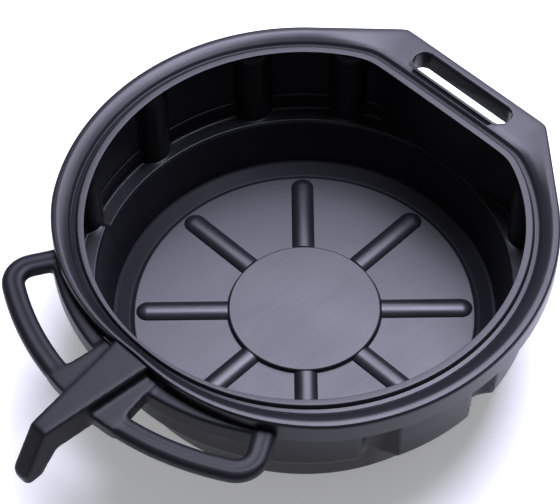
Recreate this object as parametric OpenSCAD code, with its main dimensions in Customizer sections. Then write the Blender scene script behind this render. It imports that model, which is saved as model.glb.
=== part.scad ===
/* [Pan] */
// Outer diameter of the rim bead
rim_d = 441; // [390:1:540]
// Height of the rim bead above the floor it stands on
pan_h = 147; // [120:1:180]
// Wall thickness of the moulded shell
wall_t = 2.5; // [2:0.1:3.2]

/* [Floor] */
// Radius lost by the drum wall between the ledge and the floor
drum_taper = 12.5; // [6:0.5:18]
// Height of the floor panels' upper face
floor_h = 5; // [4:0.5:7]
// Height of the corner where the floor meets the drum wall
corner_h = 8; // [7.5:0.5:12]
// Width of the coved band around the floor panels
cove_w = 16.5; // [12:0.5:24]
// Width of the flat ring that the pan stands on
foot_w = 7; // [4:0.5:11]
// Diameter of the raised hub
hub_d = 141; // [100:1:170]
// Rise of the hub above the panels
hub_rise = 4.5; // [3:0.5:7]
// Number of spokes
spoke_count = 8; // [4:1:12]
// Width of a spoke at the floor
spoke_w = 20; // [12:0.5:22]
// Rise of a spoke above the panels
spoke_rise = 4.4; // [3:0.1:6]

/* [Walls] */
// Height of the ledge round the sides and the rear
ledge_h = 54; // [40:1:60]
// Height of the ledge at the front, under the spout
front_ledge_h = 66; // [60:1:70]
// Width of the ledge inside the wall
ledge_w = 18; // [14:0.5:24]
// Height of the step line in the wall
step_h = 72; // [71:1:80]
// Depth of that step
step_in = 1.5; // [1:0.1:3]
// Chamfer under the wall's lower edge
heel_c = 5.5; // [3:0.5:8]
// Distance from the wall's round line to its flat rear stretch
flat_in = 19; // [12:0.5:30]
// Radius of the half-round flutes
flute_r = 18.5; // [12:0.5:22]
// Reach of a flute into the pan, from the wall's outer face
flute_reach = 16; // [10:0.5:17]
// Angle between flutes
flute_pitch = 30; // [24:1:32]
// Angle of the foremost flutes, from the pan's left-right line
flute_first = -28; // [-32:1:-20]
// Angle of the flutes beside the flat rear wall
flute_last = 57.5; // [54:0.5:58]

/* [Rim] */
// Width of the rim bead
bead_w = 16.5; // [14:0.5:20]
// Overhang of the splash lip inside the wall
lip_over = 13; // [8:0.5:18]
// Width of the lip's flat
lip_w = 7; // [5:0.5:7]
// Width of the groove between lip and bead
groove_w = 7; // [5:0.5:10]
// Depth of the lip's face below the bead
lip_drop = 2.5; // [1:0.5:4]
// Depth of the groove's face below the bead
groove_drop = 7; // [5.5:0.5:9]
// Depth of the rim's outer skirt
skirt_h = 21; // [16:1:26]
// Narrowest width of the bead, over the spout
ridge_w = 4; // [3:0.5:7]
// Radius of the front ridge's outer line
ridge_r = 265; // [262:1:330]

/* [Grip plate] */
// Reach of the grip plate behind the rim's round line
plate_reach = 2.5; // [0:0.5:10]
// Half the width of the plate's straight rear edge, to the corner centres
plate_half_w = 80; // [70:1:95]
// Corner radius of the plate
plate_corner_r = 12; // [6:0.5:16]
// Length of the hand slot
slot_l = 112; // [80:1:130]
// Width of the hand slot
slot_w = 20; // [14:0.5:21]
// Distance from the plate's rear edge to the slot's centre line
slot_in = 20; // [18:0.5:22]

/* [Handles] */
// Reach of the loop handles outside the rim's round line
handle_reach = 45.5; // [38:0.5:60]
// Width of the handle bar
handle_w = 20; // [14:0.5:24]
// Thickness of the handle bar
handle_t = 14; // [10:0.5:22]
// Depth of the handle's upper face below the bead
handle_drop = 10; // [8:0.5:14]
// Angle of the handle's elbow, from the spout's centre plane
handle_a = 30.8; // [28:0.2:36]
// Inner radius of the handle's elbow
elbow_r = 8; // [4:0.5:12]
// Depth of the shallow valley along the handle's upper face
valley_d = 1; // [0.5:0.1:2]
// Depth of the front shelf's face below the bead
shelf_drop = 12; // [12:0.5:15]

/* [Spout] */
// Reach of the spout outside the rim's round line
spout_reach = 112; // [90:1:135]
// Length of the spout's bent-down end
beak_l = 25; // [18:1:32]
// Drop of the beak below the spout's roof
beak_drop = 41; // [30:1:50]
// Half width of the spout at its root
spout_root = 20; // [16:0.5:24]
// Half width of the spout at its bend
spout_neck = 9; // [8:0.5:12]
// Height of the spout's side walls
spout_h = 30; // [24:0.5:32]
// Distance from the centre plane to the handle gaps' inner ends
gap_in = 31; // [28:0.5:36]
// Half width of the pouring hole through the wall
port_half_w = 12; // [8:0.5:14]
// Thickness of the beak, from its face to its chin
beak_t = 17; // [12:0.5:20]

/* [Hidden] */
// fineness of round work: above 12 a circle is a true circle
$fn = 180;
// overlap that lets a cutter pass right through a face
eps = 1;
rim_r = rim_d / 2;
groove_r = rim_r - bead_w;
lip_out_r = groove_r - groove_w;
lip_r = lip_out_r - lip_w;
wall_in_r = lip_r + lip_over;
wall_out_r = wall_in_r + wall_t;
ledge_r = wall_in_r - ledge_w;
floor_r = ledge_r - drum_taper;
panel_r = floor_r - cove_w;
hub_r = hub_d / 2;
// distances of the flat rear lines from the axis
flat_y = wall_in_r - flat_in;
flat_out_y = flat_y + wall_t;
lip_y = flat_y - lip_over;
lip_out_y = lip_y + lip_w;
groove_y = flat_out_y;
// heights
groove_z = pan_h - groove_drop;
groove_low_z = groove_z - wall_t;
lip_z = pan_h - lip_drop;
skirt_z = pan_h - skirt_h;
shelf_z = pan_h - shelf_drop;
handle_z = pan_h - handle_drop - handle_t;
shelf_low_z = handle_z - wall_t;
ledge_low_z = ledge_h - wall_t;
front_low_z = front_ledge_h - wall_t;
floor_low_z = floor_h - wall_t;
// flutes, counted from the front on each side
flutes = [flute_first, flute_first + flute_pitch, flute_first + 2 * flute_pitch, flute_last];
flute_c = wall_out_r - flute_reach + flute_r;
cove_rise = 1;
// shelf, handles and spout in plan
front_a = handle_a + asin((elbow_r + handle_w) / (rim_r + eps));
handle_r = rim_r + handle_reach;
ridge_c = ridge_r - groove_r - ridge_w;
plate_y = rim_r + plate_reach - plate_corner_r;
spout_y = rim_r + spout_reach;
neck_y = spout_y - beak_l;
roof_z = pan_h;
beak_z = roof_z - beak_drop;
belly_z = roof_z - spout_h;
chin_z = beak_z - spout_neck;

body_colour = [0.09, 0.095, 0.11];
floor_colour = [0.13, 0.135, 0.15];

// ---- helpers -------------------------------------------------------------

// a disc cut off by the flat rear line at y
module cut_disc(r, y) {
    intersection() {
        circle(r);
        translate([-r, -r]) square([2 * r, r + y]);
    }
}

// the band between two such discs, from height z0 to z1
module flat_band(r1, y1, r0, y0, z0, z1) {
    translate([0, 0, z0]) linear_extrude(z1 - z0) difference() {
        cut_disc(r1, y1);
        cut_disc(r0, y0);
    }
}

// a profile of [radius, height] points turned from angle a0 to a1
module arc_of(a0, a1, points) {
    rotate([0, 0, a0]) rotate_extrude(angle = a1 - a0) polygon(points);
}

// the upright cylinders that cut the flutes' room out of wall and ledge
module flute_cutters(r) {
    for (a = flutes, side = [0, 1]) mirror([side, 0, 0]) rotate([0, 0, a])
        translate([flute_c, 0, 0]) cylinder(r = r, h = pan_h);
}

// ---- floor ---------------------------------------------------------------

module foot_ring() {
    color(floor_colour) rotate_extrude() polygon([
        [panel_r, 0], [panel_r + foot_w, 0], [floor_r + wall_t, corner_h - wall_t],
        [floor_r + wall_t, corner_h], [floor_r, corner_h],
        [floor_r - cove_w / 3, floor_h + 2 * cove_rise],
        [panel_r + cove_w / 4, floor_h + cove_rise], [panel_r, floor_h + cove_rise]]);
}

module floor_plate() {
    color(floor_colour) translate([0, 0, floor_low_z]) difference() {
        cylinder(r = panel_r, h = wall_t);
        translate([0, 0, -eps]) cylinder(r = hub_r, h = wall_t + 2 * eps);
    }
}

module floor_hub() {
    top = floor_h + hub_rise;
    color(floor_colour) rotate_extrude() polygon([
        [hub_r - wall_t, floor_low_z], [hub_r, floor_low_z], [hub_r, top - wall_t / 2],
        [hub_r - wall_t / 2, top], [0, top], [0, top - wall_t],
        [hub_r - wall_t, top - wall_t]]);
}

// a spoke is a capsule sunk in the floor, so its crown and its end are round
module spoke(i) {
    crown_r = (spoke_rise * spoke_rise + spoke_w * spoke_w / 4) / (2 * spoke_rise);
    spoke_end = panel_r - step_in;
    span = spoke_end - hub_r;
    color(floor_colour) rotate([0, 0, (i - 1) * 360 / spoke_count - 90]) difference() {
        translate([hub_r - crown_r / 2, 0, floor_h + spoke_rise - crown_r])
            rotate([0, 90, 0]) rotate_extrude() spoke_outline(crown_r, span + crown_r / 2);
        translate([0, -crown_r - eps, -2 * crown_r])
            cube([spoke_end + crown_r, 2 * crown_r + 2 * eps, 2 * crown_r + floor_h]);
        cylinder(r = hub_r, h = pan_h);
    }
}

// half the capsule's lengthwise outline: straight side, then a quarter ellipse-like end
module spoke_outline(r, l) {
    polygon(concat([[0, 0], [r, 0]], [for (a = [0:10:90]) [r * cos(a), l - r + r * sin(a)]]));
}

// ---- walls ---------------------------------------------------------------

module drum_wall() {
    color(body_colour) rotate_extrude() polygon([
        [floor_r, corner_h], [floor_r + wall_t, corner_h],
        [ledge_r + wall_t, ledge_low_z], [ledge_r, ledge_low_z]]);
}

module ledge_ring() {
    heel_r = wall_out_r - heel_c - step_in;
    color(body_colour) difference() {
        arc_of(flutes[0], 180 - flutes[0], [
            [ledge_r, ledge_low_z], [heel_r, ledge_low_z], [heel_r, ledge_h],
            [ledge_r + step_in, ledge_h], [ledge_r, ledge_h - step_in]]);
        translate([-rim_r, flat_y, 0]) cube([rim_d, rim_r, pan_h]);
        flute_cutters(flute_r);
    }
}

// the front ledge stands higher, on its own short wall
module front_ledge() {
    inner = ledge_r + step_in;
    color(body_colour) difference() {
        arc_of(180 - flutes[0], 360 + flutes[0], [
            [ledge_r, ledge_low_z], [ledge_r + wall_t + step_in, ledge_low_z],
            [inner + wall_t, front_low_z], [wall_in_r, front_low_z],
            [wall_in_r, front_ledge_h], [inner + step_in, front_ledge_h],
            [inner, front_ledge_h - step_in]]);
        flute_cutters(flute_r);
    }
}

// wall between two flutes: heel chamfer, tier, step line, upper wall
module wall_panel(a0, a1) {
    tier_out = wall_out_r - step_in;
    tier_in = wall_in_r - step_in;
    color(body_colour) difference() {
        arc_of(a0, a1, [
            [tier_out - heel_c, ledge_low_z], [tier_out, ledge_low_z + heel_c],
            [tier_out, step_h], [wall_out_r, step_h + step_in],
            [wall_out_r, groove_low_z], [wall_in_r, groove_low_z],
            [wall_in_r, step_h], [tier_in, step_h],
            [tier_in, ledge_h + step_in], [tier_out - heel_c, ledge_h]]);
        flute_cutters(flute_r);
        translate([-rim_r, flat_out_y, 0]) cube([rim_d, rim_r, pan_h]);
    }
}

module wall_front() {
    color(body_colour) difference() {
        arc_of(180 - flutes[0], 360 + flutes[0], [
            [wall_in_r, front_low_z], [wall_out_r - step_in, front_low_z],
            [wall_out_r, step_h + step_in], [wall_out_r, groove_low_z],
            [wall_in_r, groove_low_z]]);
        flute_cutters(flute_r);
        translate([-port_half_w, -rim_r, belly_z + wall_t])
            cube([2 * port_half_w, rim_r, groove_low_z - belly_z - 3 * wall_t]);
    }
}

module wall_right(i) {
    wall_panel(flutes[i - 1], i < len(flutes) ? flutes[i] : 90);
}

// the flat rear wall fills the chord inside the round wall's inner face
module wall_flat() {
    tier_in = wall_in_r - step_in;
    heel_r = wall_out_r - step_in - heel_c;
    color(body_colour) intersection() {
        translate([-rim_r, flat_y, ledge_low_z])
            cube([rim_d, wall_t, groove_low_z - ledge_low_z]);
        rotate_extrude() polygon([
            [0, 0], [heel_r, 0], [heel_r, ledge_h], [tier_in, ledge_h + step_in],
            [tier_in, step_h], [wall_in_r, step_h], [wall_in_r, pan_h], [0, pan_h]]);
    }
}

module flute(i) {
    color(body_colour) rotate([0, 0, flutes[i - 1]]) intersection() {
        translate([flute_c, 0, ledge_low_z]) difference() {
            cylinder(r = flute_r, h = groove_low_z - ledge_low_z);
            translate([0, 0, -eps])
                cylinder(r = flute_r - wall_t, h = groove_low_z - ledge_low_z - wall_t + eps);
        }
        cylinder(r = wall_out_r, h = pan_h);
    }
}

// ---- rim -----------------------------------------------------------------

module splash_lip() {
    color(body_colour) union() {
        flat_band(lip_out_r, lip_out_y, lip_r, lip_y, lip_z - wall_t, lip_z);
        flat_band(lip_out_r, lip_out_y, lip_out_r - wall_t, lip_out_y - wall_t,
                  groove_low_z, lip_z);
    }
}

module rim_groove() {
    color(body_colour)
        flat_band(groove_r, groove_y, lip_out_r, lip_out_y, groove_low_z, groove_z);
}

// an inverted channel: inner web, crowned top and outer skirt
module bead_right() {
    color(body_colour) arc_of(front_a - 90, plate_a, [
        [groove_r, groove_low_z], [groove_r + wall_t, groove_low_z],
        [groove_r + wall_t, pan_h - wall_t], [rim_r - wall_t, pan_h - 2 * wall_t],
        [rim_r - wall_t, skirt_z], [rim_r, skirt_z],
        [rim_r, pan_h - 2 * wall_t], [rim_r - wall_t, pan_h - wall_t / 2],
        [rim_r - bead_w / 3, pan_h], [groove_r + wall_t, pan_h], [groove_r, pan_h - wall_t]]);
}

// the wider arc that trims the bead over the spout
module ridge_disc() {
    translate([0, ridge_c, 0]) cylinder(r = ridge_r, h = pan_h + eps);
}

// the bead narrows over the spout
module front_ridge() {
    color(body_colour) intersection() {
        arc_of(270 - front_a, 270 + front_a, [
            [groove_r, groove_low_z], [wall_out_r, groove_low_z], [wall_out_r, shelf_z],
            [rim_r, shelf_z], [rim_r, pan_h - wall_t], [rim_r - wall_t, pan_h],
            [groove_r + wall_t / 2, pan_h], [groove_r, pan_h - wall_t]]);
        ridge_disc();
    }
}

// shelf below the front ridge, from the spout's side to the handle's far end
module shelf_right() {
    color(body_colour) difference() {
        arc_of(270, 270 + front_a, [
            [wall_out_r, shelf_z - wall_t], [rim_r - wall_t, shelf_z - wall_t],
            [rim_r - wall_t, shelf_low_z], [rim_r, shelf_low_z],
            [rim_r, shelf_z], [wall_out_r, shelf_z]]);
        linear_extrude(pan_h) spout_plan(0);
    }
}

// ---- grip plate ----------------------------------------------------------

// outline from the tangent point on the rim round the corner to the other side
plate_d = norm([plate_half_w, plate_y]);
plate_a = atan2(plate_y, plate_half_w) - acos((rim_r - plate_corner_r) / plate_d);
module plate_outline(inset) {
    r = rim_r - inset;
    c = plate_corner_r - inset;
    side = [for (a = [plate_a:(90 - plate_a) / 6:90.01])
        [plate_half_w + c * cos(a), plate_y + c * sin(a)]];
    polygon(concat([[0, 0], [r * cos(plate_a), r * sin(plate_a)]], side,
        [for (i = [len(side) - 1:-1:0]) [-side[i][0], side[i][1]]],
        [[-r * cos(plate_a), r * sin(plate_a)]]));
}

slot_y = plate_y + plate_corner_r - slot_in;
module slot_outline(grow) {
    end = slot_l / 2 - slot_w / 2;
    union() {
        translate([-end, slot_y - slot_w / 2 - grow]) square([2 * end, slot_w + 2 * grow]);
        for (s = [-1, 1]) translate([s * end, slot_y]) circle(slot_w / 2 + grow);
    }
}

// a box open below: top, outer skirt and, above the groove, an inner web
module grip_plate() {
    color(body_colour) difference() {
        translate([0, 0, skirt_z]) linear_extrude(pan_h - skirt_z) difference() {
            plate_outline(0);
            cut_disc(groove_r, groove_y);
            slot_outline(wall_t);
        }
        translate([0, 0, skirt_z - eps]) linear_extrude(pan_h - skirt_z - wall_t + eps)
            difference() {
                plate_outline(wall_t);
                cut_disc(groove_r + wall_t, groove_y + wall_t);
            }
        translate([0, 0, skirt_z - eps]) linear_extrude(groove_low_z - skirt_z + eps)
            plate_outline(wall_t);
    }
}

module slot_wall() {
    color(body_colour) translate([0, 0, skirt_z]) linear_extrude(pan_h - skirt_z)
        difference() {
            slot_outline(wall_t);
            slot_outline(0);
        }
}

// ---- handles -------------------------------------------------------------

// bar section as [distance from the inner face, height]
function bar_section(x0) = let (w = handle_w, t = handle_t, c = w / 5) [
    [x0 + c, 0], [x0 + w - c, 0], [x0 + w, c], [x0 + w, t - c],
    [x0 + w - c / 2, t], [x0 + w - 1.5 * c, t], [x0 + w / 2, t - valley_d],
    [x0 + 1.5 * c, t], [x0 + c / 2, t], [x0, t - c], [x0, c]];

// bar, elbow and leg of one loop, cut off at the rim's skirt
module handle_bar() {
    bar_r = handle_r - handle_w;
    elbow_c = bar_r - elbow_r;
    root_a = asin(gap_in / handle_r) / 2;
    leg = elbow_c - rim_r + handle_w / 2;
    difference() {
        union() {
            difference() {
                arc_of(270 + root_a, 270 + handle_a, bar_section(bar_r));
                translate([-rim_r, -2 * rim_r, -eps])
                    cube([rim_r + gap_in - eps, 2 * rim_r, handle_t + 2 * eps]);
            }
            rotate([0, 0, handle_a - 90]) translate([elbow_c, 0, 0]) {
                rotate_extrude(angle = 90) polygon(bar_section(elbow_r));
                translate([-leg, 0, 0]) rotate([90, 0, 90]) linear_extrude(leg)
                    polygon(bar_section(elbow_r));
            }
        }
        translate([0, 0, -eps]) cylinder(r = rim_r, h = handle_t + 2 * eps);
    }
}

// web between the spout's side and the handle gap
module web_outline() {
    difference() {
        intersection() {
            circle(handle_r);
            translate([0, -spout_y]) square([gap_in, spout_y]);
        }
        circle(rim_r);
        spout_plan(0);
    }
}

module handle() {
    color(body_colour) translate([0, 0, handle_z]) union() {
        handle_bar();
        linear_extrude(handle_t) web_outline();
    }
}

// ---- spout ---------------------------------------------------------------

// plan of the horn: root, neck and rounded nose
module spout_plan(inset) {
    root_w = spout_root - inset;
    neck_w = spout_neck - inset;
    tip_y = spout_y - spout_neck;
    root_y = lip_r;
    polygon(concat(
        [[root_w, -root_y], [-root_w, -root_y], [-neck_w, -neck_y]],
        [for (a = [180:15:360]) [neck_w * cos(a), -tip_y + neck_w * sin(a)]],
        [[neck_w, -neck_y]]));
}

// side views, as [distance from the axis, height]
// roof face, lowered by drop, and belly face, raised by lift
function roof_line(drop) = [
    [lip_r, roof_z - drop], [neck_y - drop / 3, roof_z - drop],
    [spout_y, beak_z - drop * 1.5]];
function belly_line(lift) = [
    [spout_y - beak_t - lift / 2, chin_z], [neck_y - spout_neck, belly_z + lift],
    [lip_r, belly_z + lift]];

module side_slab(points) {
    translate([spout_root, 0, 0]) rotate([90, 0, -90])
        linear_extrude(2 * spout_root) polygon(points);
}

// the horn's outside, ending on the wall, and on the ridge above the shelf
module horn() {
    difference() {
        intersection() {
            side_slab(concat(roof_line(0), [[spout_y, chin_z]], belly_line(0)));
            linear_extrude(pan_h + eps) spout_plan(0);
        }
        cylinder(r = wall_out_r, h = pan_h + eps);
        translate([0, 0, shelf_z]) ridge_disc();
    }
}

module spout_roof() {
    color(body_colour) difference() {
        horn();
        side_slab(concat(roof_line(wall_t), [[spout_y, 0], [lip_r, 0]]));
    }
}

module spout_belly() {
    color(body_colour) intersection() {
        horn();
        side_slab(concat([[lip_r, 0], [spout_y, 0]], [[spout_y, chin_z - eps]],
            [[spout_y - beak_t - wall_t / 2, chin_z - eps]], belly_line(wall_t)));
    }
}

// side wall with half of the nose, between roof and belly
module spout_side() {
    color(body_colour) intersection() {
        difference() {
            horn();
            translate([0, 0, -eps]) linear_extrude(pan_h + 2 * eps) spout_plan(wall_t);
        }
        side_slab(concat(roof_line(wall_t), [[spout_y, chin_z]], belly_line(wall_t)));
        translate([0, -spout_y, 0]) cube([spout_root, spout_y, pan_h]);
    }
}

foot_ring();
floor_plate();
floor_hub();
for (i = [1:spoke_count])
    spoke(i);
drum_wall();
ledge_ring();
front_ledge();
wall_front();
wall_flat();
for (i = [1:len(flutes)]) {
    wall_right(i);
    mirror([1, 0, 0]) wall_right(i);
    flute(i);
    mirror([1, 0, 0]) flute(i);
}
splash_lip();
rim_groove();
bead_right();
mirror([1, 0, 0]) bead_right();  // bead_left
front_ridge();
shelf_right();
mirror([1, 0, 0]) shelf_right();  // shelf_left
grip_plate();
slot_wall();
handle();  // handle_right
mirror([1, 0, 0]) handle();  // handle_left
spout_roof();
spout_belly();
spout_side();  // spout_side_right
mirror([1, 0, 0]) spout_side();  // spout_side_left
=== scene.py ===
import math

import bmesh
import bpy
from mathutils import Matrix, Vector


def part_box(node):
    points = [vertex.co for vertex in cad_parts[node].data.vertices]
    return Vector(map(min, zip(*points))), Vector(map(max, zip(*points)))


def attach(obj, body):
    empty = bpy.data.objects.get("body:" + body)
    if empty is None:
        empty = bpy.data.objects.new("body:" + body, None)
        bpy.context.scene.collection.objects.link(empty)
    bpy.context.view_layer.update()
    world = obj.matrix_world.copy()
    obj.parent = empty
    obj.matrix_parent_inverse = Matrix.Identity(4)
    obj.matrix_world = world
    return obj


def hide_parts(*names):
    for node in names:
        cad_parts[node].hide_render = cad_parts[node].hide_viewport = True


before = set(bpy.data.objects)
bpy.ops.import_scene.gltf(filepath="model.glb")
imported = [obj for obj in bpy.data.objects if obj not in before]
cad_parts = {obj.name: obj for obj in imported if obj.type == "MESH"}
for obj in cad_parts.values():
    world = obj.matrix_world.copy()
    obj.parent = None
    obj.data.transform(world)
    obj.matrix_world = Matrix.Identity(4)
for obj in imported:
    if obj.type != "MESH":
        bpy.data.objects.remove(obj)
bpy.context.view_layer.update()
mm = 0.001

# ---- Camera, light and table ---------------------------------------------
# The pan stands on a plain pale table in a dim room, and a long lens looks down on it
# from the front right. Two cool soft boxes hang behind it, one low and one high.

azimuth, elevation, roll = (math.radians(a) for a in (43.5, 52.5, 0.6))
aim = Vector((-10, 23.5, 70)) * mm
toward_eye = Vector((math.sin(azimuth) * math.cos(elevation),
                     -math.cos(azimuth) * math.cos(elevation), math.sin(elevation)))
eye_distance = 1.976

camera_data = bpy.data.cameras.new("studio_camera")
camera_data.lens = 141.8
camera_data.shift_x = -0.0625
camera_data.shift_y = -0.0114
camera = bpy.data.objects.new("studio_camera", camera_data)
bpy.context.scene.collection.objects.link(camera)
camera.rotation_euler = (toward_eye.to_track_quat("Z", "Y").to_matrix()
                         @ Matrix.Rotation(roll, 3, "Z")).to_euler()
camera.location = aim + toward_eye * eye_distance
bpy.context.scene.camera = camera
bpy.context.scene.view_settings.view_transform = "Standard"


def soft_box(name, direction, distance, width, height, power, tint):
    """A rectangular soft box that faces the pan from the given direction."""
    data = bpy.data.lights.new(name, "AREA")
    data.shape = "RECTANGLE"
    data.size, data.size_y = width, height
    data.energy = power
    data.color = tint
    light = bpy.data.objects.new(name, data)
    bpy.context.scene.collection.objects.link(light)
    light.rotation_euler = direction.to_track_quat("Z", "Y").to_euler()
    light.location = aim + direction * distance


mirrored_eye = Vector((-toward_eye.x, -toward_eye.y, toward_eye.z))
rear_right = (mirrored_eye + Vector((0.165, 0.155, 0.0))).normalized()
rear_high = (0.45 * mirrored_eye + Vector((0.09, 0.085, 0.72))).normalized()
cool_white = (0.88, 0.885, 1.15)
soft_box("key_box", rear_right, distance=1.7, width=1.1, height=0.8, power=20, tint=cool_white)
soft_box("high_box", rear_high, distance=1.8, width=1.3, height=0.7, power=60, tint=cool_white)

room = bpy.data.worlds.new("room")
room.use_nodes = True
background = room.node_tree.nodes["Background"]
background.inputs["Color"].default_value = (0.9, 0.92, 1, 1)
background.inputs["Strength"].default_value = 0.2
bpy.context.scene.world = room


class Signal:
    """A socket in a material. Sums and products on it become Math nodes."""

    def __init__(self, finish, socket):
        self.finish, self.socket = finish, socket

    def math(self, operation, *values):
        return self.finish.node("ShaderNodeMath", {"operation": operation}, *values)

    def __add__(self, other):
        return self.math("ADD", self, other)

    def __sub__(self, other):
        return self.math("SUBTRACT", self, other)

    def __rsub__(self, other):
        return self.math("SUBTRACT", other, self)

    def __mul__(self, other):
        return self.math("MULTIPLY", self, other)

    __radd__, __rmul__ = __add__, __mul__


# Where the Texture Coordinate and Mix nodes give Object coordinates and a colour.
object_output, mixed_colour_output = 3, 2


class Finish:
    """A material and its shader."""

    def __init__(self, name, **constants):
        self.material = bpy.data.materials.new(name)
        self.material.use_nodes = True
        self.tree = self.material.node_tree
        self.shader = self.tree.nodes["Principled BSDF"]
        for socket, value in constants.items():
            self.shader.inputs[socket.replace("_", " ")].default_value = value

    def node(self, kind, settings, *values, output=0, **named):
        """Adds a node, feeds its sockets in order or by identifier, and gives one output."""
        made = self.tree.nodes.new(kind)
        for setting, value in settings.items():
            setattr(made, setting, value)
        sockets = {socket.identifier: socket for socket in made.inputs}
        for socket, value in zip(made.inputs, values):
            self.feed(socket, value)
        for identifier, value in named.items():
            self.feed(sockets[identifier], value)
        return Signal(self, made.outputs[output])

    def feed(self, socket, value):
        """Links a signal to a socket, or sets the socket to a constant."""
        if isinstance(value, Signal):
            self.tree.links.new(value.socket, socket)
        else:
            socket.default_value = value

    def place(self, cell=(1, 1, 1), turn=0.0):
        """Object coordinates, turned about the upright axis, in cells of the given size."""
        where = self.node("ShaderNodeTexCoord", {}, output=object_output)
        return self.node("ShaderNodeMapping", {"vector_type": "TEXTURE"}, Vector=where,
                         Scale=cell, Rotation=(0, 0, turn))


table_finish = Finish("table_paint", Base_Color=(0.86, 0.86, 0.87, 1),
                      Emission_Color=(1, 1, 1, 1), Emission_Strength=0.28)
mottle = table_finish.node("ShaderNodeTexNoise", {}, Vector=table_finish.place(), Scale=7.0)
table_finish.feed(table_finish.shader.inputs["Roughness"], 0.55 + 0.1 * mottle)
table_size = 12.0
table_mesh = bpy.data.meshes.new("table")
sheet = bmesh.new()
bmesh.ops.create_grid(sheet, x_segments=1, y_segments=1, size=table_size / 2)
sheet.to_mesh(table_mesh)
sheet.free()
table = bpy.data.objects.new("table", table_mesh)
table_mesh.materials.append(table_finish.material)
bpy.context.scene.collection.objects.link(table)

# ---- Plastic -------------------------------------------------------------
# The pan is blow-moulded black polyethylene, satin from the mould, with a faint
# orange-peel grain, cloudy patches and fine scuffs.

deep_black, worn_black = (0.005, 0.005, 0.006, 1), (0.0095, 0.0095, 0.0125, 1)
scuff_cell, scuff_turn = (0.13, 0.0045, 0.03), math.radians(85)


def polyethylene(name, scuff_depth, roughness, gloss):
    """Near-black satin plastic: cloudy gloss, a fine grain and hair scuffs."""
    finish = Finish(name, IOR=1.5, Specular_IOR_Level=gloss)
    cloud = finish.node("ShaderNodeTexNoise", {}, Vector=finish.place(), Scale=16.0, Detail=3.0)
    grain = finish.node("ShaderNodeTexNoise", {}, Vector=finish.place(), Scale=900.0, Detail=2.0)
    hair = finish.node("ShaderNodeTexNoise", {}, Scale=2.0, Detail=3.0,
                       Vector=finish.place(scuff_cell, scuff_turn))
    scuff = finish.node("ShaderNodeMapRange", {"clamp": True}, hair, 0.52, 0.72, 0.0, 1.0)
    colour = finish.node("ShaderNodeMix", {"data_type": "RGBA"}, cloud, A_Color=deep_black,
                         B_Color=worn_black, output=mixed_colour_output)
    finish.feed(finish.shader.inputs["Base Color"], colour)
    finish.feed(finish.shader.inputs["Roughness"],
                roughness + 0.14 * (cloud - 0.5) + 0.12 * scuff_depth * scuff)
    bump = finish.node("ShaderNodeBump", {}, Strength=0.12, Distance=0.0004,
                       Height=grain + scuff_depth * scuff)
    finish.feed(finish.shader.inputs["Normal"], bump)
    return finish.material


shell_plastic = polyethylene("shell_plastic", scuff_depth=0.2, roughness=0.33, gloss=0.27)
floor_plastic = polyethylene("floor_plastic", scuff_depth=0.2, roughness=0.48, gloss=0.58)
rib_plastic = polyethylene("rib_plastic", scuff_depth=0.1, roughness=0.37, gloss=0.42)
# The fold's plastic has almost no gloss. This is painted shade: it keeps the folded ring's band
# dark, though the fold is the same plastic as the floor.
fold_painted_shade_plastic = polyethylene("fold_painted_shade_plastic", scuff_depth=0.1, roughness=0.4, gloss=0.06)
spout_plastic = polyethylene("spout_plastic", scuff_depth=0.2, roughness=0.42, gloss=0.14)

# ---- Basin floor ---------------------------------------------------------
# The round floor is one sheet with the walls: a raised hub, eight flat panels and
# a folded ring that the pan stands on. The sheet is turned from a half section.

sheet_t = 2.5 * mm
pan_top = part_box("bead_right")[1].z
rim_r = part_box("bead_right")[1].x
hub_r, hub_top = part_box("floor_hub")[1].x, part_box("floor_hub")[1].z
panel_z, panel_r = 5 * mm, 155 * mm
fold_r, fold_z, foot_z = panel_r + 1.6 * mm, 3.6 * mm, 2.6 * mm
drum_low_r, drum_low_z = 174.5 * mm, 8.4 * mm
weld_gap = 0.01 * mm


def half_section(points, closed=False):
    """A wire in the XZ plane through (radius, height, rounding) points, its corners rounded."""
    wire = bmesh.new()
    corners = [wire.verts.new((r, 0, z)) for r, z, rounding in points]
    for a, b in zip(corners, corners[1:] + corners[:1] * closed):
        wire.edges.new((a, b))
    soft_corners = {}
    for corner, (r, z, rounding) in zip(corners, points):
        soft_corners.setdefault(rounding, []).append(corner)
    for rounding in [key for key in soft_corners if key]:
        bmesh.ops.bevel(wire, geom=soft_corners[rounding], affect="VERTICES", offset=rounding,
                        segments=3, profile=0.5, material=-1)
    return wire


def turn(shape, steps, angle=math.tau, start=0.0):
    """Turns a wire about the pan's axis, by a full turn or from start through angle."""
    bmesh.ops.rotate(shape, verts=shape.verts[:], matrix=Matrix.Rotation(start, 3, "Z"))
    bmesh.ops.spin(shape, geom=shape.verts[:] + shape.edges[:], axis=(0, 0, 1), angle=angle,
                   steps=steps, use_merge=angle == math.tau)
    bmesh.ops.remove_doubles(shape, verts=shape.verts[:], dist=weld_gap)
    bmesh.ops.dissolve_degenerate(shape, dist=weld_gap, edges=shape.edges[:])


def make_object(name, shape, open_sheet=False):
    """Puts a shape into the scene, smooth and with its faces outward.

    An open sheet's faces look into the basin, and its thickness goes the other way.
    """
    bmesh.ops.recalc_face_normals(shape, faces=shape.faces[:])
    if open_sheet:
        basin = Vector((0, 0, pan_top))
        toward = sum(face.normal.dot(basin - face.calc_center_median()) * face.calc_area()
                     for face in shape.faces)
        if toward < 0:
            bmesh.ops.reverse_faces(shape, faces=shape.faces[:])
    for face in shape.faces:
        face.smooth = True
    mesh = bpy.data.meshes.new(name)
    shape.to_mesh(mesh)
    shape.free()
    made = bpy.data.objects.new(name, mesh)
    bpy.context.scene.collection.objects.link(made)
    if open_sheet:
        sheet = made.modifiers.new("sheet", "SOLIDIFY")
        sheet.thickness, sheet.offset, sheet.use_even_offset = sheet_t, -1, True
    return made


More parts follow.
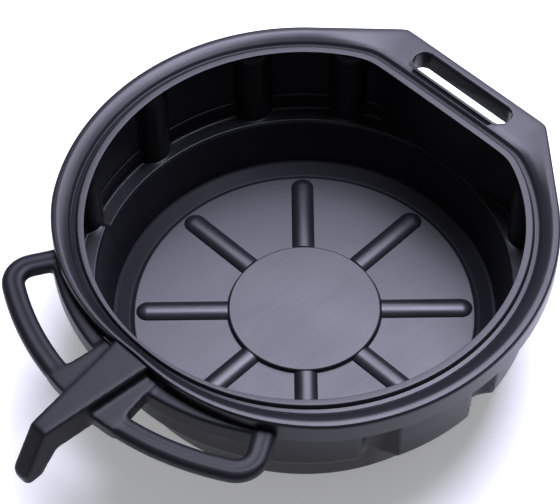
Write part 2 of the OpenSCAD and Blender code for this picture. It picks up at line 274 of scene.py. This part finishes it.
def fit(piece, plastic, slot, *nodes):
    """Finishes a piece that stands for the named nodes."""
    piece.data.materials.append(plastic)
    flat = piece.modifiers.new("flat_faces_stay_flat", "WEIGHTED_NORMAL")
    flat.weight = 80
    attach(piece, "root")
    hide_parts(*nodes)


floor_shape = half_section([
    (0, hub_top, 0), (hub_r - 1.2 * mm, hub_top, 1.4 * mm), (hub_r, panel_z, 0.8 * mm),
    (panel_r, panel_z, 0.8 * mm), (fold_r, fold_z, 0)])
turn(floor_shape, 180)
fit(make_object("floor_moulding", floor_shape, open_sheet=True), floor_plastic, "floor",
    "floor_plate", "floor_hub")
fold_shape = half_section([
    (fold_r, fold_z, 0), (panel_r + 3 * mm, foot_z, 0.8 * mm),
    (panel_r + 4.5 * mm, foot_z, 1.5 * mm),
    (drum_low_r - 3.2 * mm, drum_low_z - 0.3 * mm, 0.5 * mm),
    (drum_low_r - 1.4 * mm, drum_low_z - 0.2 * mm, 0.5 * mm), (drum_low_r, drum_low_z, 0)])
turn(fold_shape, 720)
# The folded ring gets the nearly glossless plastic, which paints shade on its band.
fit(make_object("foot_fold", fold_shape, open_sheet=True), fold_painted_shade_plastic, "floor", "foot_ring")

# ---- Basin wall ----------------------------------------------------------
# Above the floor the sheet rises as a drum, folds out into a ledge and goes up as the
# wall. Half-round flutes stiffen it, the rear is pressed flat, and the ledge is higher
# in front, under the spout.

wall_r, tier_r = 203 * mm, 201.5 * mm
ledge_r, ledge_z, front_lift = 185 * mm, 54 * mm, 12 * mm
step_z, wall_top_z = 72 * mm, 138 * mm
flute_r, flute_centre_r, flute_draft = 18.5 * mm, 208 * mm, 0.03
flute_crown_z = 124 * mm
crown_rows = (129 * mm, 132.5 * mm, 135 * mm, 136.8 * mm)
lift_half_angle, lift_fade_angle = 64, 3
flute_angles = [math.radians(a) for right in (-28, 2, 32, 57.5) for a in (right, 180 - right)]
flat_y, flat_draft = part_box("wall_flat")[0].y, 0.04
press_soft = 2 * mm


def soft_min(a, b, soft):
    """The lesser of two lengths, rounded over where they are nearly the same."""
    return (a + b - math.hypot(a - b, soft)) / 2


def press_wall(shape):
    """Presses flutes, raised front ledge and flat rear into the turned wall."""
    for v in shape.verts:
        r, angle = math.hypot(v.co.x, v.co.y), math.atan2(v.co.y, v.co.x)
        if r < ledge_r - 2 * mm:
            continue
        off = min(abs(math.remainder(angle - a, math.tau)) for a in flute_angles)
        front = math.degrees(abs(math.remainder(angle + math.pi / 2, math.tau)))
        if v.co.z < step_z - 3 * mm:
            v.co.z += front_lift * min(1, max(0, (lift_half_angle - front) / lift_fade_angle))
        side, depth = flute_centre_r * math.sin(off), flute_centre_r * math.cos(off)
        if side < flute_r:
            reach = depth - math.sqrt(flute_r ** 2 - side ** 2)
            crown = max(0, v.co.z - flute_crown_z) / (wall_top_z - flute_crown_z)
            reach = wall_r - (wall_r - reach) * math.sqrt(max(0, 1 - crown ** 2))
            pressed = min(r, soft_min(r, reach, press_soft) + flute_draft * (r - ledge_r))
            v.co.x, v.co.y = v.co.x * pressed / r, v.co.y * pressed / r
        line = flat_y - flat_draft * (wall_r - r)
        if v.co.y > 0.5 * line:
            v.co.y = soft_min(v.co.y, line + 0.5 * mm, press_soft)


wall_shape = half_section([
    (drum_low_r, drum_low_z, 0), (ledge_r - 0.4 * mm, ledge_z - 2.4 * mm, 0.6 * mm),
    (ledge_r + 1.6 * mm, ledge_z, 0.6 * mm), (tier_r, ledge_z + 0.5 * mm, 3 * mm),
    (tier_r, step_z, 0.5 * mm), (wall_r, step_z + 0.8 * mm, 0.6 * mm),
    *((wall_r, z, 0) for z in (flute_crown_z, *crown_rows, wall_top_z))])
turn(wall_shape, 720)
press_wall(wall_shape)
wall = make_object("basin_wall", wall_shape, open_sheet=True)
fit(wall, shell_plastic, "shell",
    "drum_wall", "ledge_ring", "front_ledge", "wall_front", "wall_flat",
    *[f"{part}_{side}_{i}" for part in ("wall", "flute") for side in ("right", "left")
      for i in (1, 2, 3, 4)])

# ---- Rim and grip plate --------------------------------------------------
# The rim is turned with the wall: a splash lip that leans over the basin, a groove and
# a round bead. Over the spout the bead narrows, and at the rear it widens into a flat
# plate with a slot for the hand.

lip_r, bead_low_z = 190 * mm, 126 * mm
plate_angle = math.radians(47.2)
plate_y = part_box("grip_plate")[1].y
rear_in = 19 * mm
ridge_reach, ridge_half_angle = 202 * mm, 52.0
ridge_full_angle, ridge_soft_angle, ridge_power = 51, 3, 1.35
spread_start_r, spread_width = 206 * mm, 9 * mm
slot_half, slot_r, slot_y = 46 * mm, 10 * mm, 203 * mm
bar_steps = 48
seam_gap = 0.005 * mm


def press_rim(shape):
    """Narrows the turned rim over the spout and spreads it into the rear plate."""
    for v in shape.verts:
        r, angle = math.hypot(v.co.x, v.co.y), math.atan2(v.co.y, v.co.x)
        front = math.degrees(abs(math.remainder(angle + math.pi / 2, math.tau)))
        if front < ridge_half_angle:
            share = 1
            if front < ridge_full_angle:
                run = math.hypot(front, ridge_soft_angle) / ridge_half_angle
                share = 1 - (1 - run) ** ridge_power
            outer = ridge_reach + (rim_r - ridge_reach) * min(1, share)
            narrow = (outer - lip_r) / (rim_r - lip_r)
            placed = lip_r + (r - lip_r) * narrow
            v.co.x, v.co.y = v.co.x * placed / r, v.co.y * placed / r
        elif v.co.y > 0:
            spread = min(1, max(0, (r - spread_start_r) / spread_width))
            spread = spread * spread * (3 - 2 * spread)
            outer = rim_r
            if plate_angle < angle < math.pi - plate_angle:
                lean = abs(angle - math.pi / 2)
                side = rim_r / math.cos(math.pi / 2 - plate_angle - lean)
                outer = soft_min(side, plate_y / math.cos(lean), 2 * mm)
                outer = max(rim_r, outer)
            inner_y = soft_min(v.co.y, r - rear_in, 4 * mm)
            out = (outer - rim_r) / r
            v.co.x += spread * v.co.x * out
            v.co.y = (1 - spread) * inner_y + spread * v.co.y * (1 + out)


lip_line = [(wall_r, 136 * mm, 0), (wall_r, 140.5 * mm, 1.5 * mm),
            (lip_r + 1 * mm, 142 * mm, 0.6 * mm), (lip_r, 144.3 * mm, 0.8 * mm),
            (197 * mm, 144.8 * mm, 1.4 * mm)]
groove_line = [(198.5 * mm, 140.4 * mm, 1 * mm), (202.5 * mm, 140 * mm, 1.2 * mm)]
bead_line = [(204.5 * mm, 142.4 * mm, 1.2 * mm), (209.5 * mm, 145.2 * mm, 2 * mm),
             (214 * mm, pan_top, 1.5 * mm), (219 * mm, pan_top - 0.2 * mm, 0.9 * mm),
             (rim_r, 144.8 * mm, 1.2 * mm)]
skirt_line = [(rim_r, bead_low_z, 0.7 * mm), (rim_r - sheet_t, bead_low_z, 0.7 * mm),
              (rim_r - sheet_t, 141 * mm, 1 * mm)]
under_line = [(216 * mm, 144 * mm, 1 * mm), (208 * mm, 143 * mm, 1 * mm),
              (206.2 * mm, 137.5 * mm, 0.6 * mm), (206 * mm, 136 * mm, 0)]
rim_shape = half_section(lip_line + groove_line + bead_line + skirt_line + under_line,
                         closed=True)
turn(rim_shape, 720)
press_rim(rim_shape)
rim = make_object("rim", rim_shape)


def draw_apart(points, half_length):
    """A turned shape whose halves are drawn apart along X, which makes a round-ended bar."""
    shape = half_section(points)
    turn(shape, bar_steps, start=math.tau / (2 * bar_steps))
    for v in shape.verts:
        v.co.x += math.copysign(half_length, v.co.x)
    return shape


def slot_shape(name, points):
    """A bar of the hand slot's length, in its place."""
    shape = draw_apart(points, slot_half)
    bmesh.ops.translate(shape, verts=shape.verts[:], vec=(0, slot_y, 0))
    return make_object(name, shape)


def combine(base, operation, other):
    """Joins other to base, or cuts it out, removes other and welds the seams."""
    step = base.modifiers.new(operation.lower(), "BOOLEAN")
    step.operation, step.object, step.solver = operation, other, "EXACT"
    bpy.context.view_layer.update()
    result = bpy.data.meshes.new_from_object(
        base.evaluated_get(bpy.context.evaluated_depsgraph_get()))
    base.modifiers.clear()
    seams = bmesh.new()
    seams.from_mesh(result)
    bmesh.ops.remove_doubles(seams, verts=seams.verts[:], dist=seam_gap)
    bmesh.ops.dissolve_degenerate(seams, dist=seam_gap, edges=seams.edges[:])
    bmesh.ops.holes_fill(seams, edges=[e for e in seams.edges if e.is_boundary], sides=8)
    seams.to_mesh(result)
    seams.free()
    base.data = result
    bpy.data.objects.remove(other)


slot_tube_r = slot_r + sheet_t
combine(rim, "UNION", slot_shape("slot_tube", [
    (0, bead_low_z, 0), (slot_tube_r, bead_low_z, 0.5 * mm), (slot_tube_r, 145 * mm, 0),
    (0, 145 * mm, 0)]))
combine(rim, "DIFFERENCE", slot_shape("slot_cut", [
    (0, bead_low_z - 5 * mm, 0), (slot_r, bead_low_z - 5 * mm, 0), (slot_r, 144 * mm, 0),
    (slot_r + 0.3 * mm, 145.3 * mm, 0), (slot_r + 1.1 * mm, 146.4 * mm, 0),
    (slot_r + 2.6 * mm, pan_top + 0.05 * mm, 0), (slot_r + 2.6 * mm, pan_top + 3 * mm, 0),
    (0, pan_top + 3 * mm, 0)]))
fit(rim, shell_plastic, "shell", "splash_lip", "rim_groove", "bead_right", "bead_left",
    "front_ridge", "grip_plate", "slot_wall")

# ---- Spokes --------------------------------------------------------------
# Eight round-backed ribs stand up from the floor sheet between hub and ring. Each has
# steep flanks. Its inner end is cut off just inside the hub, with one more row of
# points at the hub's edge to keep the shading even.

spoke_end, spoke_start = 153.5 * mm, 56 * mm
spoke_half_w, spoke_rise, spoke_low_z = 10.5 * mm, 4.4 * mm, panel_z - 1 * mm
spoke_back = [(spoke_half_w * s, panel_z + spoke_rise * (1 - s ** 2.4), 0)
              for s in (step / 10 for step in range(11))]
spoke_names = [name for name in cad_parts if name.startswith("spoke_")]
for i, name in enumerate(spoke_names):
    spoke = draw_apart(spoke_back + [(spoke_half_w, spoke_low_z, 0), (0, spoke_low_z, 0)],
                       (spoke_end - spoke_start) / 2 - spoke_half_w)
    bmesh.ops.translate(spoke, verts=spoke.verts[:], vec=((spoke_end + spoke_start) / 2, 0, 0))
    for cut_r in (hub_r, hub_r - 1 * mm):
        bmesh.ops.bisect_plane(spoke, geom=spoke.verts[:] + spoke.edges[:] + spoke.faces[:],
                               plane_co=(cut_r, 0, 0), plane_no=(1, 0, 0),
                               clear_inner=cut_r < hub_r)
    bmesh.ops.holes_fill(spoke, edges=[e for e in spoke.edges if e.is_boundary])
    bmesh.ops.rotate(spoke, verts=spoke.verts[:],
                     matrix=Matrix.Rotation(i * math.tau / len(spoke_names) - math.pi / 2, 3, "Z"))
    fit(make_object(f"{name}_rib", spoke), rib_plastic, "floor", name)

# ---- Spout, handles and shelf --------------------------------------------
# In front the shell runs out into a hollow spout with a bent-down beak. A loop handle
# springs from each side of it and comes back to the rim over a narrow shelf.

handle_w, handle_t, valley = 20 * mm, 14 * mm, 1 * mm
handle_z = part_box("handle_right")[0].z
handle_out_r, gap_in = 266 * mm, 31 * mm
elbow_angle, elbow_r, leg_end_r = math.radians(30.8), 8 * mm, 206 * mm
shelf_z, shelf_half_angle = 135 * mm, math.radians(38)
spout_tip, spout_neck = -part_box("spout_roof")[0].y, 307.5 * mm
root_half, neck_half = 20 * mm, 9 * mm
port_half_w, port_low, port_top = 12 * mm, 119.5 * mm, 132.5 * mm
spout_root_y, spout_low_z, beak_low_z, nose_round = 203.8 * mm, 117 * mm, 97 * mm, 5 * mm


def close_ends(shape):
    """Closes a swept shape's open ends and turns its faces outward."""
    bmesh.ops.holes_fill(shape, edges=[e for e in shape.edges if e.is_boundary])
    bmesh.ops.recalc_face_normals(shape, faces=shape.faces[:])


def handle_bar(side):
    """Bar, elbow and leg of one loop: a rounded section with a valley along its back."""
    w, t, c = handle_w, handle_t, handle_w / 5  # width, thickness and corner
    inner, low = handle_out_r - handle_w, handle_z
    section = half_section([
        (inner + x, low + z, 0) for x, z in (
            (c, 0), (w - c, 0), (w, c), (w, t - c), (w - c / 2, t - c / 4), (w - 1.6 * c, t),
            (w / 2, t - valley), (1.6 * c, t), (c / 2, t - c / 4), (0, t - c), (0, c))],
        closed=True)
    root = math.asin(gap_in / handle_out_r) / 2
    bmesh.ops.rotate(section, verts=section.verts[:],
                     matrix=Matrix.Rotation(root - math.pi / 2, 3, "Z"))
    ring = section.verts[:] + section.edges[:]
    ring = bmesh.ops.spin(section, geom=ring, axis=(0, 0, 1), angle=elbow_angle - root,
                          steps=24)["geom_last"]
    heading = elbow_angle - math.pi / 2
    outward = Vector((math.cos(heading), math.sin(heading), 0))
    ring = bmesh.ops.spin(section, geom=ring, cent=outward * (inner - elbow_r), axis=(0, 0, 1),
                          angle=math.pi / 2, steps=12)["geom_last"]
    leg = bmesh.ops.extrude_edge_only(section, edges=[e for e in ring
                                                      if isinstance(e, bmesh.types.BMEdge)])
    leg = [v for v in leg["geom"] if isinstance(v, bmesh.types.BMVert)]
    bmesh.ops.translate(section, verts=leg, vec=outward * (leg_end_r - inner + elbow_r))
    close_ends(section)
    if side < 0:
        bmesh.ops.scale(section, verts=section.verts[:], vec=(-1, 1, 1))
        bmesh.ops.reverse_faces(section, faces=section.faces[:])
    return section


def turned_band(points, half_angle):
    """A band turned about the pan's axis, to the same angle on both sides of the spout."""
    shape = half_section(points, closed=True)
    turn(shape, 72, angle=2 * half_angle, start=-math.pi / 2 - half_angle)
    close_ends(shape)
    return shape


def horn(grow, root_y, outline):
    """The spout's outside, or its duct: a side outline drawn out to the plan's width."""
    shape = bmesh.new()
    half = [shape.verts.new((-1, -y, z)) for y, z in outline]
    face = shape.faces.new(half)
    other = bmesh.ops.extrude_face_region(shape, geom=[face])["geom"]
    bmesh.ops.translate(shape, verts=[v for v in other if isinstance(v, bmesh.types.BMVert)],
                        vec=(2, 0, 0))
    for v in shape.verts:
        run = min(1, (-v.co.y - root_y) / (spout_neck - root_y))
        v.co.x *= root_half + (neck_half - root_half) * run + grow
    nose = [e for e in shape.edges if all(v.co.y < 2 * mm - spout_tip for v in e.verts)
            and abs(e.verts[0].co.z - e.verts[1].co.z) > 4 * mm]
    bmesh.ops.bevel(shape, geom=nose, affect="EDGES", offset=nose_round, segments=4, profile=0.5,
                    material=-1)
    bmesh.ops.recalc_face_normals(shape, faces=shape.faces[:])
    return shape


def poured_together(name, shapes, voxel, passes):
    """Melts closed shapes into one moulding and rounds its edges, as a blown skin has them."""
    whole = bmesh.new()
    for shape in shapes:
        part = bpy.data.meshes.new("part")
        shape.to_mesh(part)
        shape.free()
        whole.from_mesh(part)
        bpy.data.meshes.remove(part)
    made = make_object(name, whole)
    skin = made.modifiers.new("skin", "REMESH")
    skin.mode, skin.voxel_size, skin.use_smooth_shade = "VOXEL", voxel, True
    soft = made.modifiers.new("soft", "SMOOTH")
    soft.factor, soft.iterations = 0.5, passes
    bpy.context.view_layer.update()
    mesh = bpy.data.meshes.new_from_object(
        made.evaluated_get(bpy.context.evaluated_depsgraph_get()))
    made.modifiers.clear()
    made.data = mesh
    return made


spout_skin = horn(0, spout_root_y, [
    (spout_root_y, pan_top), (spout_neck, pan_top), (spout_tip, 106 * mm),
    (spout_tip - 1 * mm, beak_low_z), (spout_tip - 18 * mm, beak_low_z),
    (spout_neck - 9 * mm, spout_low_z), (spout_root_y, spout_low_z)])
web_in, web_half_angle = 207 * mm, math.radians(8.5)
web = turned_band([(web_in, handle_z, 0), (handle_out_r, handle_z, 0),
                   (handle_out_r, handle_z + handle_t, 0), (web_in, handle_z + handle_t, 0)],
                  web_half_angle)
shelf_in, skirt_in, skirt_low_z = 206 * mm, 218 * mm, 114.5 * mm
shelf = turned_band([(shelf_in, shelf_z - sheet_t, 0), (skirt_in, shelf_z - sheet_t, 0),
                     (skirt_in, skirt_low_z, 0), (rim_r, skirt_low_z, 0), (rim_r, shelf_z, 0),
                     (shelf_in, shelf_z, 0)], shelf_half_angle)
front = poured_together("spout_and_handles",
                        [spout_skin, web, shelf, handle_bar(1), handle_bar(-1)],
                        voxel=1.2 * mm, passes=26)
duct_end, duct_low_z = spout_tip - sheet_t, spout_low_z + sheet_t
duct = horn(-sheet_t, spout_root_y, [
    (spout_root_y - 3 * mm, pan_top - sheet_t), (spout_neck - 1 * mm, pan_top - sheet_t),
    (duct_end, 102 * mm), (duct_end - 1 * mm, 92 * mm), (duct_end - 13 * mm, 92 * mm),
    (spout_neck - 10 * mm, duct_low_z), (spout_root_y - 3 * mm, duct_low_z)])
combine(front, "DIFFERENCE", make_object("duct", duct))
for walled in (wall, rim):
    port = bmesh.new()
    bmesh.ops.create_cube(port, size=1)
    bmesh.ops.scale(port, verts=port.verts[:],
                    vec=(2 * port_half_w, 16 * mm, port_top - port_low))
    bmesh.ops.translate(port, verts=port.verts[:],
                        vec=(0, -wall_r, (port_top + port_low) / 2))
    combine(walled, "DIFFERENCE", make_object("port", port))
fit(front, spout_plastic, "shell", "handle_right", "handle_left", "shelf_right", "shelf_left",
    "spout_roof", "spout_side_right", "spout_side_left", "spout_belly")
